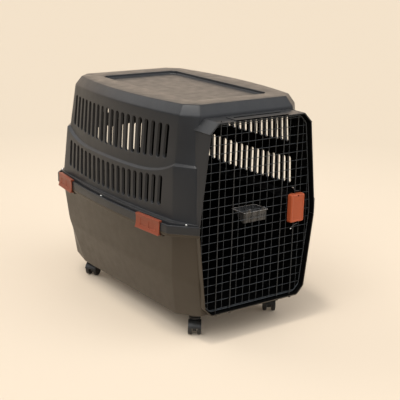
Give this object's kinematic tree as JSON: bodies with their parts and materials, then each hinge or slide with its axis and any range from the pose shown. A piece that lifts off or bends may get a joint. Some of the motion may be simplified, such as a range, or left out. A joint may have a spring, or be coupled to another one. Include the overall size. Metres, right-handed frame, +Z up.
{
  "type": "wheeled pet travel crate",
  "caption": "Moulded two-shell travel crate for a pet, with vented sides, a hinged wire door with a sliding-bolt latch and hung bowl, rim clips and swivel casters.",
  "frame": {"origin": "on the floor under the middle of the crate's outline", "axes": "+Z up; the door faces -Y; +X is to the right for a person who stands in front of the door"},
  "size_m": [0.6856, 0.931, 0.8085],
  "materials": {
    "dark_grey_plastic": "fine grained moulded plastic",
    "warm_grey_plastic": "fine grained moulded plastic",
    "terracotta_plastic": "satin moulded plastic",
    "black_wire": "black coated wire",
    "coated_rod": "dark coated rod",
    "pin_steel": "plain steel",
    "black_plastic": "satin black plastic",
    "wheel_plastic": "hard black tread",
    "smoked_plastic": "translucent smoked plastic"
  },
  "bodies": {
    "crate": {"lower_shell": "warm_grey_plastic", "upper_shell": "dark_grey_plastic", "clip_pin_front_left": "pin_steel", "clip_pin_front_right": "pin_steel", "clip_pin_rear_left": "pin_steel", "clip_pin_rear_right": "pin_steel", "caster_front_left_mount": "black_plastic", "caster_front_right_mount": "black_plastic", "caster_rear_left_mount": "black_plastic", "caster_rear_right_mount": "black_plastic"},
    "door": {"door_grille": "black_wire", "door_hinge_rod": "coated_rod", "door_stiffener_left": "coated_rod", "door_stiffener_right": "coated_rod", "latch_housing": "terracotta_plastic"},
    "latch_upper": {"latch_bolt_upper": "coated_rod"},
    "latch_lower": {"latch_bolt_lower": "coated_rod"},
    "bowl": {"water_bowl": "smoked_plastic"},
    "clip_front_left": {"clip_front_left": "terracotta_plastic"},
    "caster_front_left_swivel": {"caster_front_left_fork": "black_plastic"},
    "caster_front_left_wheel": {"caster_front_left_wheels": "wheel_plastic"},
    "clip_front_right": {"clip_front_right": "terracotta_plastic"},
    "caster_front_right_swivel": {"caster_front_right_fork": "black_plastic"},
    "caster_front_right_wheel": {"caster_front_right_wheels": "wheel_plastic"},
    "clip_rear_left": {"clip_rear_left": "terracotta_plastic"},
    "caster_rear_left_swivel": {"caster_rear_left_fork": "black_plastic"},
    "caster_rear_left_wheel": {"caster_rear_left_wheels": "wheel_plastic"},
    "clip_rear_right": {"clip_rear_right": "terracotta_plastic"},
    "caster_rear_right_swivel": {"caster_rear_right_fork": "black_plastic"},
    "caster_rear_right_wheel": {"caster_rear_right_wheels": "wheel_plastic"}
  },
  "joints": [
    {"name": "door_hinge", "type": "hinge", "parent": "crate", "child": "door", "pos_m": [-0.165, -0.4472, 0.43], "axis": [0, 0, -1], "range_deg": [0, 150]},
    {"name": "latch_upper_slide", "type": "slide", "parent": "door", "child": "latch_upper", "axis": [0, 0, 1], "range_m": [0, 0.012]},
    {"name": "latch_lower_slide", "type": "slide", "parent": "door", "child": "latch_lower", "axis": [0, 0, -1], "range_m": [0, 0.012]},
    {"name": "bowl_lift", "type": "slide", "parent": "door", "child": "bowl", "axis": [0, 0, 1], "range_m": [0, 0.012]},
    {"name": "clip_front_left_hinge", "type": "hinge", "parent": "crate", "child": "clip_front_left", "pos_m": [-0.32505, -0.28289, 0.386], "axis": [0.0758, -0.9971, 0], "range_deg": [0, 105]},
    {"name": "clip_front_right_hinge", "type": "hinge", "parent": "crate", "child": "clip_front_right", "pos_m": [0.32505, -0.28289, 0.386], "axis": [0.0758, 0.9971, 0], "range_deg": [0, 105]},
    {"name": "clip_rear_left_hinge", "type": "hinge", "parent": "crate", "child": "clip_rear_left", "pos_m": [-0.30904, 0.31898, 0.386], "axis": [-0.1281, -0.9918, 0], "range_deg": [0, 105]},
    {"name": "clip_rear_right_hinge", "type": "hinge", "parent": "crate", "child": "clip_rear_right", "pos_m": [0.30904, 0.31898, 0.386], "axis": [-0.1281, 0.9918, 0], "range_deg": [0, 105]},
    {"name": "caster_front_left_swivel_turn", "type": "hinge", "parent": "crate", "child": "caster_front_left_swivel", "pos_m": [-0.169, -0.336, 0.058], "axis": [0, 0, 1], "continuous": true},
    {"name": "caster_front_left_roll", "type": "hinge", "parent": "caster_front_left_swivel", "child": "caster_front_left_wheel", "pos_m": [-0.17958, -0.35056, 0.02479], "axis": [-0.809, 0.5878, 0], "continuous": true},
    {"name": "caster_front_right_swivel_turn", "type": "hinge", "parent": "crate", "child": "caster_front_right_swivel", "pos_m": [0.169, -0.336, 0.058], "axis": [0, 0, 1], "continuous": true},
    {"name": "caster_front_right_roll", "type": "hinge", "parent": "caster_front_right_swivel", "child": "caster_front_right_wheel", "pos_m": [0.17958, -0.32144, 0.02479], "axis": [0.809, -0.5878, 0], "continuous": true},
    {"name": "caster_rear_left_swivel_turn", "type": "hinge", "parent": "crate", "child": "caster_rear_left_swivel", "pos_m": [-0.169, 0.358, 0.058], "axis": [0, 0, 1], "continuous": true},
    {"name": "caster_rear_left_roll", "type": "hinge", "parent": "caster_rear_left_swivel", "child": "caster_rear_left_wheel", "pos_m": [-0.18427, 0.34846, 0.02479], "axis": [-0.5299, 0.848, 0], "continuous": true},
    {"name": "caster_rear_right_swivel_turn", "type": "hinge", "parent": "crate", "child": "caster_rear_right_swivel", "pos_m": [0.169, 0.358, 0.058], "axis": [0, 0, 1], "continuous": true},
    {"name": "caster_rear_right_roll", "type": "hinge", "parent": "caster_rear_right_swivel", "child": "caster_rear_right_wheel", "pos_m": [0.17366, 0.37539, 0.02479], "axis": [0.9659, -0.2588, 0], "continuous": true}
  ],
  "couplings": [
    {"joint": "latch_lower_slide", "follows": "latch_upper_slide", "ratio": 1}
  ]
}
